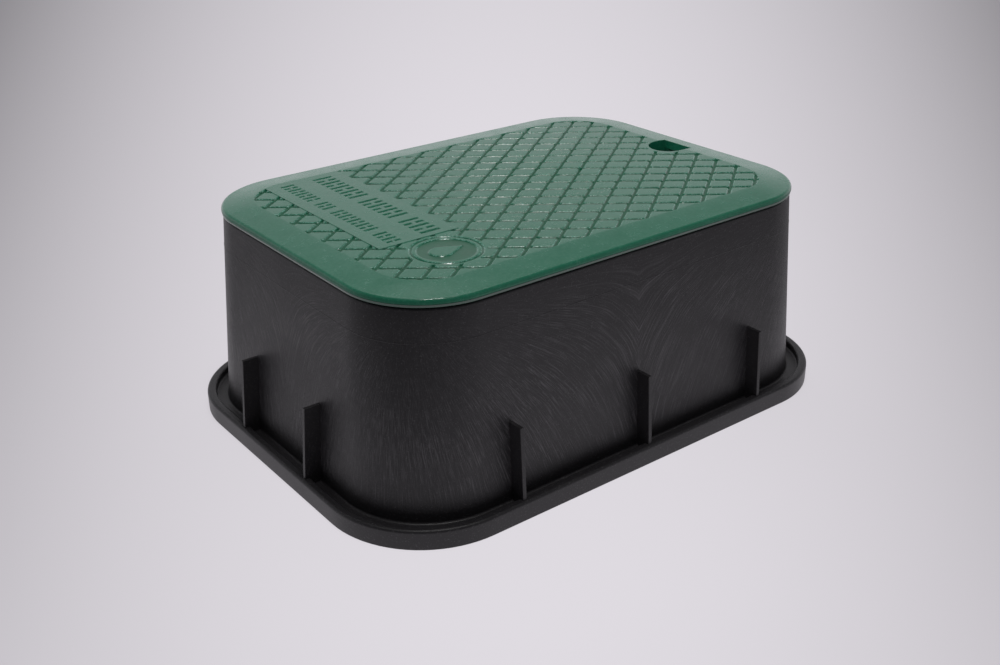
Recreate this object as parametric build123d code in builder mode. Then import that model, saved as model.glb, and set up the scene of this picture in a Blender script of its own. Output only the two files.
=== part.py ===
from build123d import *
from math import acos, cos, degrees, sin
import os

# A rectangular irrigation valve box: a bottomless box with a base flange, and a lift-off lid.
# Millimetres. The origin is the centre of the base, on the ground. +X runs along the long side,
# towards the lid's lifting hole, and +Z is up.

# ---- Overall size -------------------------------------------------------------------------
BASE_LENGTH = 482.6  # flange outline: 19 in by 14 in, the nominal size of this box
BASE_WIDTH = 355.6
BASE_CORNER = 84.4
LID_LENGTH = 428.0
LID_WIDTH = 308.0
LID_CORNER = 67.4
LID_EDGE_TOP = 180.7  # height of the lid's edge above the ground
LID_EDGE_HEIGHT = 6.6
CROWN = 2.6  # how far the lid's patterned middle stands above its edge

# ---- Box body -----------------------------------------------------------------------------
WALL = 5.0
WALL_FOOT_LENGTH = 452.0  # outside of the wall at the ground, which leans in from here
WALL_FOOT_WIDTH = 325.5
WALL_FOOT_CORNER = 74.5
WALL_EDGE_ROUND = 1.2
LID_OVERHANG = 1.1  # lid edge beyond the wall's top, each side
LID_GAP = 1.0  # shadow gap under the lid's edge

FLANGE_HEIGHT = 16.0
FLANGE_RIM = 7.5  # width of the raised rim round the flange
FLANGE_RIM_ROUND = 2.0
FLANGE_FLOOR_TOP = 10.0
FLANGE_FLOOR = 5.0  # thickness between the wall and the rim

GUSSET_THICKNESS = 3.2
GUSSET_TOP = 74.7
GUSSET_INSET = 3.0  # outer edge of a gusset from the flange's outer face
LONG_SIDE_GUSSETS = (-126.3, 0.0, 126.3)
SHORT_SIDE_GUSSETS = (-49.3, 49.3)

LEDGE_DROP = 9.5  # the lid rests on a ledge this far below the wall's top
LEDGE_WIDTH = 9.0
LEDGE_THICKNESS = 4.5
BRACKET_HEIGHT = 16.0
BRACKET_THICKNESS = 3.0
LONG_SIDE_BRACKETS = (-110.0, -37.0, 37.0, 110.0)
SHORT_SIDE_BRACKETS = (-60.0, 0.0, 60.0)

WITNESS_HEIGHT = 148.0  # fine raised line that the mould leaves round the box
WITNESS_WIDTH = 0.5
WITNESS_RISE = 0.2

# ---- Lid ----------------------------------------------------------------------------------
LID_PLATE_UNDERSIDE = 177.6
LID_EDGE_BAND = 8.0  # width of the full-height band round the lid's edge
EDGE_ROUND_TOP = 2.6
EDGE_ROUND_BOTTOM = 1.2
EDGE_LINE_ABOVE_BOTTOM = 2.4  # fine step line round the edge band
EDGE_LINE_WIDTH = 0.5
EDGE_LINE_DEPTH = 0.4

SEAT_CLEARANCE = 0.1  # skirt to ledge, with the lid on
SKIRT_CLEARANCE = 1.5  # locating skirt to the inside of the wall
SKIRT_THICKNESS = 4.0
RIB_THICKNESS = 3.0
RIB_ABOVE_LEDGE = 1.5
RIBS_ALONG_X = (-97.0, -48.5, 0.0, 48.5, 97.0)
RIBS_ALONG_Y = (-150.0, -90.0, -30.0, 30.0, 90.0, 146.0)

FIELD_LENGTH = 375.0  # area that the diamond tread covers
FIELD_WIDTH = 254.4
FIELD_CORNER = 41.0
DIAMOND_LENGTH = 30.76  # groove crossing to groove crossing, along X
DIAMOND_WIDTH = 23.26  # and along Y
GROOVE_WIDTH = 3.0
GROOVE_DEPTH = 1.3
BLOCK_END_RECESS = 3.8  # a tread block's pointed ends stop this far from the crossing

PANEL_MIN_X = -164.0
PANEL_MAX_X = -92.6
PANEL_MIN_Y = -53.3
PANEL_RISE = 0.4
MARK_DEPTH = 0.9  # below the field
LARGE_ROW = {"x": -113.4, "height": 17.0, "pitch": 7.3, "groups": (9, 7, 5)}
SMALL_ROW = {"x": -146.4, "height": 11.5, "pitch": 6.2, "groups": (8, 3, 9, 4)}
BAR_SHARE = 0.36  # part of the pitch that a bar fills
BAR_ROW_START = 116.0  # y of the first bar
SPLIT_BAR_SHARE = 0.38  # part of the row's height that each half of a split bar takes

BADGE_X = -125.5
BADGE_Y = -83.5
BADGE_RADIUS = 27.5
BADGE_MARGIN = 1.8  # smooth land round the badge
BADGE_RING_GROOVE = 2.2
BADGE_RING = 3.0
BADGE_DEPTH = 1.0
DROP_RADIUS = 9.0
DROP_LENGTH = 19.0  # centre of the drop's round end to its point
DROP_OFFSET = 5.0  # centre of the round end below the badge's centre

HOLE_X = 181.7  # centre of the lifting hole's round side
HOLE_RADIUS = 16.9
HOLE_FLAT_X = 195.7
HOLE_COLLAR = 3.0
HOLE_LIP = 8.0  # the straight side is this thick, so a hook catches under it

GATE_RADIUS = 1.3
GATE_HEIGHT = 0.5  # above the tread blocks

# ---- Worked out ---------------------------------------------------------------------------
LID_TOP = LID_EDGE_TOP + CROWN
LID_EDGE_BOTTOM = LID_EDGE_TOP - LID_EDGE_HEIGHT
WALL_TOP = LID_EDGE_BOTTOM - LID_GAP
WALL_TOP_LENGTH = LID_LENGTH - 2 * LID_OVERHANG
WALL_TOP_WIDTH = LID_WIDTH - 2 * LID_OVERHANG
WALL_TOP_CORNER = LID_CORNER - LID_OVERHANG
LEAN_X = (WALL_FOOT_LENGTH - WALL_TOP_LENGTH) / 2 / WALL_TOP
LEAN_Y = (WALL_FOOT_WIDTH - WALL_TOP_WIDTH) / 2 / WALL_TOP
LEDGE_TOP = WALL_TOP - LEDGE_DROP
LEDGE_BOTTOM = LEDGE_TOP - LEDGE_THICKNESS
SKIRT_BOTTOM = LEDGE_TOP + SEAT_CLEARANCE
RIB_BOTTOM = LEDGE_TOP + RIB_ABOVE_LEDGE
LIP_BOTTOM = LID_TOP - HOLE_LIP
GATE_X = DIAMOND_LENGTH * 2.5
THROUGH = 40.0  # more than the lid's whole height

os.makedirs("parts", exist_ok=True)


def wall_outline(height, inset=0.0):
    """Length, width and corner radius of the wall's outside at a height, moved in by inset."""
    share = height / WALL_TOP
    length = WALL_FOOT_LENGTH + (WALL_TOP_LENGTH - WALL_FOOT_LENGTH) * share
    width = WALL_FOOT_WIDTH + (WALL_TOP_WIDTH - WALL_FOOT_WIDTH) * share
    corner = WALL_FOOT_CORNER + (WALL_TOP_CORNER - WALL_FOOT_CORNER) * share
    return length - 2 * inset, width - 2 * inset, corner - inset


def inset_outline(outline, inset):
    """An outline of length, width and corner radius, moved in by inset."""
    length, width, corner = outline
    return length - 2 * inset, width - 2 * inset, corner - inset


def leaning_slab(bottom, bottom_outline, top, top_outline):
    """A closed solid between two rounded rectangles at two heights."""
    with BuildPart() as slab:
        with BuildSketch(Plane.XY.offset(bottom)):
            RectangleRounded(*bottom_outline)
        with BuildSketch(Plane.XY.offset(top)):
            RectangleRounded(*top_outline)
        loft(ruled=True)
    return slab.part


def edge_line(height, outline, width, depth):
    """A thin closed band that reaches this depth to either side of an outline."""
    with BuildPart() as band:
        with BuildSketch(Plane.XY.offset(height - width / 2)):
            RectangleRounded(*inset_outline(outline, -depth))
            RectangleRounded(*inset_outline(outline, depth), mode=Mode.SUBTRACT)
        extrude(amount=width)
    return band.part


def plate_on_edge(plane, points, thickness):
    """A flat plate of the given thickness, centred on a vertical plane."""
    with BuildPart() as plate:
        with BuildSketch(plane):
            with BuildLine():
                Polyline(*points, close=True)
            make_face()
        extrude(amount=thickness / 2, both=True)
    return plate.part


def gusset_points(side, wall_foot, flange, lean):
    """Profile of a gusset between the wall and the rim, as (distance, height) from the middle."""
    foot = FLANGE_FLOOR_TOP - FLANGE_FLOOR / 2
    outer = flange - GUSSET_INSET
    inner = wall_foot - WALL / 2
    reach_and_height = (
        (inner, foot),
        (outer, foot),
        (outer, FLANGE_HEIGHT),
        (outer - (GUSSET_TOP - FLANGE_HEIGHT) * lean, GUSSET_TOP),
        (inner - GUSSET_TOP * lean, GUSSET_TOP),
    )
    return [(side * reach, height) for reach, height in reach_and_height]


def bracket_points(side, wall_top, lean):
    """Profile of a bracket under the ledge, as (distance, height) from the middle."""
    foot = LEDGE_BOTTOM - BRACKET_HEIGHT
    middle_of_wall = wall_top - WALL / 2
    reach_and_height = (
        (wall_top - WALL - LEDGE_WIDTH + BRACKET_THICKNESS / 2, LEDGE_BOTTOM),
        (middle_of_wall + (WALL_TOP - LEDGE_BOTTOM) * lean, LEDGE_BOTTOM),
        (middle_of_wall + (WALL_TOP - foot) * lean, foot),
    )
    return [(side * reach, height) for reach, height in reach_and_height]


def hole_outline(margin=0.0):
    """The lifting hole's D shape, grown by margin: round towards the lid's middle."""
    radius = HOLE_RADIUS + margin
    flat = HOLE_FLAT_X + margin
    with BuildSketch() as outline:
        with BuildLine():
            CenterArc((HOLE_X, 0), radius, 90, 180)
            Polyline((HOLE_X, -radius), (flat, -radius), (flat, radius), (HOLE_X, radius))
        make_face()
    return outline.sketch


def tread_block():
    """One diamond tread block, with its two pointed ends cut off short of the crossings."""
    half_length = DIAMOND_LENGTH / 2
    half_width = DIAMOND_WIDTH / 2
    side = (half_length**2 + half_width**2) ** 0.5
    tip_x = half_length - GROOVE_WIDTH / 2 * side / half_width
    tip_y = half_width - GROOVE_WIDTH / 2 * side / half_length
    end_x = half_length - BLOCK_END_RECESS
    end_y = tip_y * (1 - end_x / tip_x)
    with BuildSketch() as block:
        with BuildLine():
            Polyline(
                (end_x, -end_y),
                (end_x, end_y),
                (0, tip_y),
                (-end_x, end_y),
                (-end_x, -end_y),
                (0, -tip_y),
                close=True,
            )
        make_face()
    return block.sketch


def tread_centres():
    """Centres of the tread blocks: two interleaved grids that cover the field."""
    columns = int(FIELD_LENGTH / DIAMOND_LENGTH) + 1
    rows = int(FIELD_WIDTH / DIAMOND_WIDTH) + 1
    reach_x = (FIELD_LENGTH + DIAMOND_LENGTH) / 2
    reach_y = (FIELD_WIDTH + DIAMOND_WIDTH) / 2
    for column in range(-columns, columns + 1):
        for row in range(-rows, rows + 1):
            if (column + row) % 2 == 0:
                x = column * DIAMOND_LENGTH / 2
                y = row * DIAMOND_WIDTH / 2
                if abs(x) < reach_x and abs(y) < reach_y:
                    yield x, y


def bar_places(row):
    """(x, y, height) of the bars in one row of the panel. Every second bar is split in two."""
    y = BAR_ROW_START
    for group in row["groups"]:
        for bar in range(group):
            if bar % 2 == 0:
                yield row["x"], y, row["height"]
            else:
                half = row["height"] * SPLIT_BAR_SHARE
                shift = (row["height"] - half) / 2
                yield row["x"] - shift, y, half
                yield row["x"] + shift, y, half
            y -= row["pitch"]
        y -= row["pitch"]


def drop_outline():
    """A plain water drop: a round end, and two sides that meet in a point towards +X."""
    tangent = acos(DROP_RADIUS / DROP_LENGTH)
    touch_x = DROP_RADIUS * cos(tangent)
    touch_y = DROP_RADIUS * sin(tangent)
    with BuildSketch() as drop:
        with BuildLine():
            CenterArc((0, 0), DROP_RADIUS, degrees(tangent), 360 - 2 * degrees(tangent))
            Polyline((touch_x, -touch_y), (DROP_LENGTH, 0), (touch_x, touch_y))
        make_face()
    return drop.sketch


# ---- Box body: one black moulding ---------------------------------------------------------
base_outline = (BASE_LENGTH, BASE_WIDTH, BASE_CORNER)
rim_inside = inset_outline(base_outline, FLANGE_RIM)

with BuildPart() as box_body:
    # Flange: a raised rim round a lower floor, open below.
    with BuildSketch():
        RectangleRounded(*base_outline)
        RectangleRounded(*rim_inside, mode=Mode.SUBTRACT)
    extrude(amount=FLANGE_HEIGHT)
    fillet(box_body.edges().group_by(Axis.Z)[-1], radius=FLANGE_RIM_ROUND)
    with BuildSketch(Plane.XY.offset(FLANGE_FLOOR_TOP)):
        RectangleRounded(*inset_outline(base_outline, FLANGE_RIM / 2))
    extrude(amount=-FLANGE_FLOOR)
    # Leaning wall, open at the top and the bottom.
    add(leaning_slab(0, wall_outline(0), WALL_TOP, wall_outline(WALL_TOP)))
    add(
        leaning_slab(0, wall_outline(0, WALL), WALL_TOP, wall_outline(WALL_TOP, WALL)),
        mode=Mode.SUBTRACT,
    )
    fillet(box_body.edges().group_by(Axis.Z)[-1], radius=WALL_EDGE_ROUND)
    add(edge_line(WITNESS_HEIGHT, wall_outline(WITNESS_HEIGHT), WITNESS_WIDTH, WITNESS_RISE))
    # Ledge that the lid rests on.
    with BuildSketch(Plane.XY.offset(LEDGE_TOP)):
        RectangleRounded(*wall_outline(LEDGE_TOP, WALL / 2))
        RectangleRounded(*wall_outline(WALL_TOP, WALL + LEDGE_WIDTH), mode=Mode.SUBTRACT)
    extrude(amount=-LEDGE_THICKNESS)
    for side in (-1, 1):
        for place in LONG_SIDE_GUSSETS:
            profile = gusset_points(side, WALL_FOOT_WIDTH / 2, BASE_WIDTH / 2, LEAN_Y)
            add(plate_on_edge(Plane.YZ.offset(place), profile, GUSSET_THICKNESS))
        for place in SHORT_SIDE_GUSSETS:
            profile = gusset_points(side, WALL_FOOT_LENGTH / 2, BASE_LENGTH / 2, LEAN_X)
            add(plate_on_edge(Plane.XZ.offset(-place), profile, GUSSET_THICKNESS))
        for place in LONG_SIDE_BRACKETS:
            profile = bracket_points(side, WALL_TOP_WIDTH / 2, LEAN_Y)
            add(plate_on_edge(Plane.YZ.offset(place), profile, BRACKET_THICKNESS))
        for place in SHORT_SIDE_BRACKETS:
            profile = bracket_points(side, WALL_TOP_LENGTH / 2, LEAN_X)
            add(plate_on_edge(Plane.XZ.offset(-place), profile, BRACKET_THICKNESS))

# ---- Lid: one green moulding --------------------------------------------------------------
lid_outline = (LID_LENGTH, LID_WIDTH, LID_CORNER)
field_outline = (FIELD_LENGTH, FIELD_WIDTH, FIELD_CORNER)
skirt_outline = wall_outline(WALL_TOP, WALL + SKIRT_CLEARANCE)
skirt_inside = inset_outline(skirt_outline, SKIRT_THICKNESS)
rounded_edge_inside = inset_outline(lid_outline, EDGE_ROUND_TOP)
clear_length = LID_LENGTH / 2 - LID_EDGE_BAND - HOLE_X  # under the hole's straight side

with BuildPart() as lid:
    # Edge band, rounded over at the top.
    with BuildSketch(Plane.XY.offset(LID_EDGE_BOTTOM)):
        RectangleRounded(*lid_outline)
    extrude(amount=LID_EDGE_HEIGHT)
    fillet(lid.edges().group_by(Axis.Z)[-1], radius=EDGE_ROUND_TOP)
    fillet(lid.edges().group_by(Axis.Z)[0], radius=EDGE_ROUND_BOTTOM)
    add(
        edge_line(
            LID_EDGE_BOTTOM + EDGE_LINE_ABOVE_BOTTOM, lid_outline, EDGE_LINE_WIDTH, EDGE_LINE_DEPTH
        ),
        mode=Mode.SUBTRACT,
    )
    # Hollow underside, and the border that rises to the raised middle.
    with BuildSketch(Plane.XY.offset(LID_PLATE_UNDERSIDE)):
        RectangleRounded(*inset_outline(lid_outline, LID_EDGE_BAND))
    extrude(amount=-LID_EDGE_HEIGHT, mode=Mode.SUBTRACT)
    add(leaning_slab(LID_EDGE_TOP, rounded_edge_inside, LID_TOP, field_outline))
    # Locating skirt and stiffening ribs.
    with BuildSketch(Plane.XY.offset(LID_PLATE_UNDERSIDE)):
        RectangleRounded(*skirt_outline)
        RectangleRounded(*skirt_inside, mode=Mode.SUBTRACT)
    extrude(amount=SKIRT_BOTTOM - LID_PLATE_UNDERSIDE)
    with BuildSketch(Plane.XY.offset(LID_PLATE_UNDERSIDE)):
        with Locations(*[(0, place) for place in RIBS_ALONG_X]):
            Rectangle(LID_LENGTH, RIB_THICKNESS)
        with Locations(*[(place, 0) for place in RIBS_ALONG_Y]):
            Rectangle(RIB_THICKNESS, LID_WIDTH)
        RectangleRounded(*inset_outline(skirt_inside, -SKIRT_THICKNESS / 2), mode=Mode.INTERSECT)
    extrude(amount=RIB_BOTTOM - LID_PLATE_UNDERSIDE)
    # Lifting hole, its collar, and the clear space under its straight side.
    with BuildSketch(Plane.XY.offset(LID_PLATE_UNDERSIDE)):
        add(hole_outline(HOLE_COLLAR))
    extrude(amount=RIB_BOTTOM - LID_PLATE_UNDERSIDE)
    with BuildSketch(Plane.XY.offset(LID_TOP)):
        add(hole_outline())
    extrude(amount=-THROUGH, mode=Mode.SUBTRACT)
    with BuildSketch(Plane.XY.offset(LIP_BOTTOM)):
        with Locations((HOLE_X, 0)):
            Rectangle(clear_length, 2 * HOLE_RADIUS, align=(Align.MIN, Align.CENTER))
    extrude(amount=-THROUGH, mode=Mode.SUBTRACT)
    # Diamond tread: grooves cut between the blocks, except at the panel and the badge.
    with BuildSketch(Plane.XY.offset(LID_TOP)):
        RectangleRounded(*field_outline)
        with Locations(*tread_centres()):
            add(tread_block(), mode=Mode.SUBTRACT)
        with Locations((PANEL_MIN_X, PANEL_MIN_Y)):
            Rectangle(PANEL_MAX_X - PANEL_MIN_X, FIELD_WIDTH, align=Align.MIN, mode=Mode.SUBTRACT)
        with Locations((BADGE_X, BADGE_Y)):
            Circle(BADGE_RADIUS + BADGE_MARGIN, mode=Mode.SUBTRACT)
        add(hole_outline(HOLE_COLLAR), mode=Mode.SUBTRACT)
    extrude(amount=-GROOVE_DEPTH, mode=Mode.SUBTRACT)
    # Raised panel with two rows of plain sunk bars.
    with BuildSketch(Plane.XY.offset(LID_TOP)):
        with Locations((PANEL_MIN_X, PANEL_MIN_Y)):
            Rectangle(PANEL_MAX_X - PANEL_MIN_X, FIELD_WIDTH, align=Align.MIN)
        RectangleRounded(*field_outline, mode=Mode.INTERSECT)
    extrude(amount=PANEL_RISE)
    with BuildSketch(Plane.XY.offset(LID_TOP + PANEL_RISE)):
        for row in (LARGE_ROW, SMALL_ROW):
            for x, y, height in bar_places(row):
                with Locations((x, y)):
                    Rectangle(height, row["pitch"] * BAR_SHARE)
    extrude(amount=-PANEL_RISE - MARK_DEPTH, mode=Mode.SUBTRACT)
    # Round badge: a ring, and a plain water drop on a sunk disc.
    with BuildSketch(Plane.XY.offset(LID_TOP)):
        with Locations((BADGE_X, BADGE_Y)):
            Circle(BADGE_RADIUS)
            Circle(BADGE_RADIUS - BADGE_RING_GROOVE, mode=Mode.SUBTRACT)
            Circle(BADGE_RADIUS - BADGE_RING_GROOVE - BADGE_RING)
        with Locations((BADGE_X - DROP_OFFSET, BADGE_Y)):
            add(drop_outline(), mode=Mode.SUBTRACT)
    extrude(amount=-BADGE_DEPTH, mode=Mode.SUBTRACT)
    # Mark that the mould's gate leaves, at a groove crossing.
    with Locations((GATE_X, 0, LID_TOP - GROOVE_DEPTH)):
        Cone(
            GATE_RADIUS,
            GATE_RADIUS / 2,
            GROOVE_DEPTH + GATE_HEIGHT,
            align=(Align.CENTER, Align.CENTER, Align.MIN),
        )

box_body.part.label = "box_body"
lid.part.label = "lid"
export_step(box_body.part, "parts/box_body.step")
export_step(lid.part, "parts/lid.step")
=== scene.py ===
# Looks of the irrigation valve box: a black moulded box and a green moulded lid, on a pale studio floor.
# Metres. The frame's origin is the centre of the base, +X runs towards the lid's lifting hole, +Z is up.

from functools import reduce
from math import acos, atan2, cos, hypot, pi, radians, sin, sqrt, tan

import bmesh
import bpy
from mathutils import Matrix, Vector, noise
from mathutils.geometry import delaunay_2d_cdt


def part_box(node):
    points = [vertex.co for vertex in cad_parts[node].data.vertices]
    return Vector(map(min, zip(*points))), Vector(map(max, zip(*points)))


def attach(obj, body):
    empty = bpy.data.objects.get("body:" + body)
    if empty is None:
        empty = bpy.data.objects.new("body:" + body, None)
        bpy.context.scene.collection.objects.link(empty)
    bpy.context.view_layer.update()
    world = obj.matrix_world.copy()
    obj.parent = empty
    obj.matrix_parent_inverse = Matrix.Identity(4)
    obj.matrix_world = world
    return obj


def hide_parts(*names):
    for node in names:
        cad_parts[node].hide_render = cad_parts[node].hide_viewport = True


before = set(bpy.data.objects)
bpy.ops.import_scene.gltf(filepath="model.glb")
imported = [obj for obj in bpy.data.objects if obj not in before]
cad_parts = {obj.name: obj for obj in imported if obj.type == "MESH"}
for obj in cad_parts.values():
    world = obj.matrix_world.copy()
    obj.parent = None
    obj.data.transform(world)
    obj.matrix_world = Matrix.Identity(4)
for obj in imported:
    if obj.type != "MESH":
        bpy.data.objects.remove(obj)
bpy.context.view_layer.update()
lid_low, lid_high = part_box("lid")
box_low, box_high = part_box("box_body")

# ---- Sizes shared by both mouldings, worked out from the frame ----------------------------
BASE = (box_high.x - box_low.x, box_high.y - box_low.y, 0.0844)  # length, width, corner radius
LID = (lid_high.x - lid_low.x, lid_high.y - lid_low.y, 0.0674)
WALL_TOP = box_high.z
WALL_FOOT = (0.452, 0.3255, 0.0745)
LID_OVERHANG = 0.0011
WALL = 0.005
LEDGE_TOP = WALL_TOP - 0.0095
LEDGE_WIDTH = 0.009
LEDGE_THICKNESS = 0.0045
SEAT_CLEARANCE = 0.0001
SHARP_ANGLE = radians(32)  # edges that turn by more than this stay crisp
SEAM_WELD = 3e-6  # points of neighbouring surfaces closer than this become one
CUT_WELD = 2e-6  # the same after a cut or a join
FILL_INSIDE = 1  # the triangulation's way to leave out what lies outside the outlines
FILL_TOLERANCE = 1e-7

# ---- Box body -----------------------------------------------------------------------------
FLANGE_HEIGHT = 0.016
FLANGE_RIM = 0.0075
FLANGE_FLOOR_TOP = 0.010
FLANGE_FLOOR_UNDER = 0.005
WITNESS_HEIGHT = 0.148  # raised line that the mould leaves
WITNESS_RISE = 0.00018
WITNESS_HALF_WIDTH = 0.0004
RIM_END_UNDER = 0.010  # from the flange's outer face to where the rim hands over to the floor
RIM_END_TOP = 0.0105
WALL_START = -0.003  # where the wall's outside takes over from the flange's floor
WALL_STEP = 0.012  # longest edge up the wall
GUSSET_THICKNESS = 0.0032
GUSSET_TOP = 0.0747
GUSSET_INSET = 0.003
GUSSET_EDGE_ROUND = 0.0004
LONG_SIDE_GUSSETS = (-0.1263, 0.0, 0.1263)
SHORT_SIDE_GUSSETS = (-0.0493, 0.0493)
BRACKET_HEIGHT = 0.016
BRACKET_THICKNESS = 0.003
BRACKET_SETBACK = 0.0015  # from the ledge's inner edge to the bracket
BRACKET_EDGE_ROUND = 0.0003
LONG_SIDE_BRACKETS = (-0.11, -0.037, 0.037, 0.11)
SHORT_SIDE_BRACKETS = (-0.06, 0.0, 0.06)

# ---- Lid ----------------------------------------------------------------------------------
LID_EDGE_TOP = 0.1807
LID_EDGE_BOTTOM = 0.1741
LID_TOP = 0.1833
CROWN_CURVE = 1.15
PLATE_UNDERSIDE = 0.1776
EDGE_BAND = 0.008
EDGE_ROUND = 0.0028
EDGE_LINE = (0.0028, 0.0026, 0.0022)  # top, deepest place and bottom of the line round the edge
EDGE_LINE_DEPTH = 0.0004
LIP_HEIGHT = 0.0023  # paler lip below the line round the edge
LIP_INSETS = (0.0001, 0.0006)  # at its top and its bottom
LIP_REACH = EDGE_BAND / 4
TOP_INSET = 0.0032  # where the top surface hands over to the rounded edge
BORDER_INSETS = (TOP_INSET, 0.008, 0.014, 0.020, 0.024)  # outlines the smooth border follows
SKIRT_CLEARANCE = 0.0015
SKIRT_THICKNESS = 0.004
RIB_BOTTOM = LEDGE_TOP + 0.0015
RIB_THICKNESS = 0.003
RIB_DRAFT = 0.0003
RIBS_ALONG_X = (-0.097, -0.0485, 0.0, 0.0485, 0.097)
RIBS_ALONG_Y = (-0.15, -0.09, -0.03, 0.03, 0.09, 0.146)

FIELD = (0.375, 0.2544, 0.041)
DIAMOND_LENGTH = 0.03076
DIAMOND_WIDTH = 0.02326
GROOVE_WIDTH = 0.0030
GROOVE_DEPTH = 0.0013
BLOCK_END_RECESS = 0.0038
GROOVE_END_RAMP = 0.001
RAGGED_EDGES = ((0.00009, 900, 0), (0.00006, 320, 3))  # amount, scale and seed of the blocks' wear
FINE_STEP = 0.002  # longest edge along the outline of a tread block or the drop
STEP = 0.004  # and along other outlines
UNCUT = 1.0  # longer than any line, so it stays as it is

PANEL = (-0.164, -0.0926, -0.0533, 0.16)  # low x, high x, low y, high y
PANEL_RISE = 0.0004
PANEL_SLOPE = 0.0004
MARK_DEPTH = 0.0009
BAR_ROWS = (  # centre x, bar height, pitch, bars in each group
    (-0.1134, 0.017, 0.0073, (9, 7, 5)),
    (-0.1464, 0.0115, 0.0062, (8, 3, 9, 4)),
)
BAR_SHARE = 0.36
BAR_ROW_START = 0.116
SPLIT_BAR_SHARE = 0.38

BADGE = (-0.1255, -0.0835)
BADGE_RADIUS = 0.0275
BADGE_MARGIN = 0.0018
BADGE_RING_GROOVE = 0.0022
BADGE_RING = 0.003
BADGE_DEPTH = 0.001
DROP_RADIUS = 0.009
DROP_LENGTH = 0.019
DROP_OFFSET = 0.005

HOLE_X = 0.1817
HOLE_RADIUS = 0.0169
HOLE_FLAT_X = 0.1957
HOLE_COLLAR = 0.003
HOLE_LIP = 0.008
HOLE_ROUND = 0.0006

GATE_X = DIAMOND_LENGTH * 2.5
GATE_RADIUS = 0.0013
GATE_RISE = 0.0004
GATE_SLOPE = GATE_RADIUS * 0.5
GATE_RINGS = (1.0, 0.8, 0.5)  # circles that its slope follows, as shares of its radius
GATE_SIDES = 14
CUT_MARGIN = 0.01  # how far a cut runs past the surfaces it opens

LIP = -2  # marks the lip in the layer of groove depths, where the panel has -1

# How deep a sunk shape is, as a share of its depth, at a distance past its edge.
SINK_PROFILE = (
    (-0.00090, 0.0),
    (-0.00055, 0.04),
    (-0.00025, 0.16),
    (0.00005, 0.36),
    (0.00065, 0.88),
    (0.00095, 1.0),
)


# ---- Outlines -----------------------------------------------------------------------------
def grown(outline, amount):
    """A rounded rectangle (length, width, corner radius), moved out by amount."""
    return outline[0] + 2 * amount, outline[1] + 2 * amount, outline[2] + amount


def wall_outline(height):
    """The leaning wall's outside at a height."""
    top = grown(LID, -LID_OVERHANG)
    share = height / WALL_TOP
    return tuple(foot + (up - foot) * share for foot, up in zip(WALL_FOOT, top))


def round_points(outline, along=28, across=20, arc=20):
    """(x, y, place) round a rounded rectangle. place is the distance from the nearest corner's
    middle, positive on the long sides and negative on the short ones."""
    length, width, corner = outline
    straight_x, straight_y = length / 2 - corner, width / 2 - corner
    eighth = corner * pi / 4
    quarter = []
    for step in range(across // 2):
        y = straight_y * step / (across // 2)
        quarter.append((length / 2, y, y - straight_y - eighth))
    for step in range(arc):
        angle = pi / 2 * step / arc
        x, y = straight_x + corner * cos(angle), straight_y + corner * sin(angle)
        quarter.append((x, y, corner * angle - eighth))
    for step in range(along // 2 + 1):
        x = straight_x * (1 - step / (along // 2))
        quarter.append((x, width / 2, straight_x - x + eighth))
    half = quarter + [(-x, y, place) for x, y, place in reversed(quarter[:-1])]
    return half + [(x, -y, place) for x, y, place in reversed(half[1:-1])]


def outline_distance(x, y, outline):
    """Distance outside a rounded rectangle, negative inside."""
    over_x = abs(x) - outline[0] / 2 + outline[2]
    over_y = abs(y) - outline[1] / 2 + outline[2]
    return hypot(max(over_x, 0), max(over_y, 0)) + min(max(over_x, over_y), 0) - outline[2]


def rounded_path(points, steps=5):
    """(inset, height) points from (inset, height, radius) ones, with the inner corners rounded."""
    path = [Vector(points[0][:2])]
    for before, corner, after in zip(points, points[1:], points[2:]):
        tip, radius = Vector(corner[:2]), corner[2]
        back = (Vector(before[:2]) - tip).normalized()
        on = (Vector(after[:2]) - tip).normalized()
        half = acos(max(-1, min(1, back.dot(on)))) / 2
        centre = tip + (back + on).normalized() * radius / sin(half)
        start = tip + back * radius / tan(half) - centre
        end = tip + on * radius / tan(half) - centre
        turn = atan2(start.x * end.y - start.y * end.x, start.dot(end))
        for step in range(steps + 1):
            path.append(centre + Matrix.Rotation(turn * step / steps, 2) @ start)
    path.append(Vector(points[-1][:2]))
    return path


def split_path(path, longest):
    """The same path with no step longer than longest."""
    result = [path[0]]
    for start, end in zip(path, path[1:]):
        pieces = max(1, round((end - start).length / longest))
        result += [start.lerp(end, piece / pieces) for piece in range(1, pieces + 1)]
    return result


# ---- Mesh building ------------------------------------------------------------------------
def add_rings(bm, rings, flow, closed):
    """Quads between rings of (x, y, z, place), with place and height as the flow coordinates."""
    rows = [[bm.verts.new(point[:3]) for point in ring] for ring in rings]
    pairs = list(zip(rings, rows))
    count = len(rows[0])
    for (ring_a, row_a), (ring_b, row_b) in zip(pairs, pairs[1:] + (pairs[:1] if closed else [])):
        for i in range(count):
            j = (i + 1) % count
            face = bm.faces.new((row_a[i], row_a[j], row_b[j], row_b[i]))
            corners = (ring_a[i], ring_a[j], ring_b[j], ring_b[i])
            for loop, corner in zip(face.loops, corners):
                loop[flow].uv = (corner[3], corner[2])


def ring_at(outline, inset, height):
    """A ring of (x, y, z, place) at a height."""
    return [(x, y, height, place) for x, y, place in round_points(grown(outline, -inset))]


def shade(bm):
    """Smooth shading that stays crisp at the sharp edges."""
    for face in bm.faces:
        face.smooth = True
    for edge in bm.edges:
        edge.smooth = not (len(edge.link_faces) == 2 and edge.calc_face_angle(0) > SHARP_ANGLE)


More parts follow.
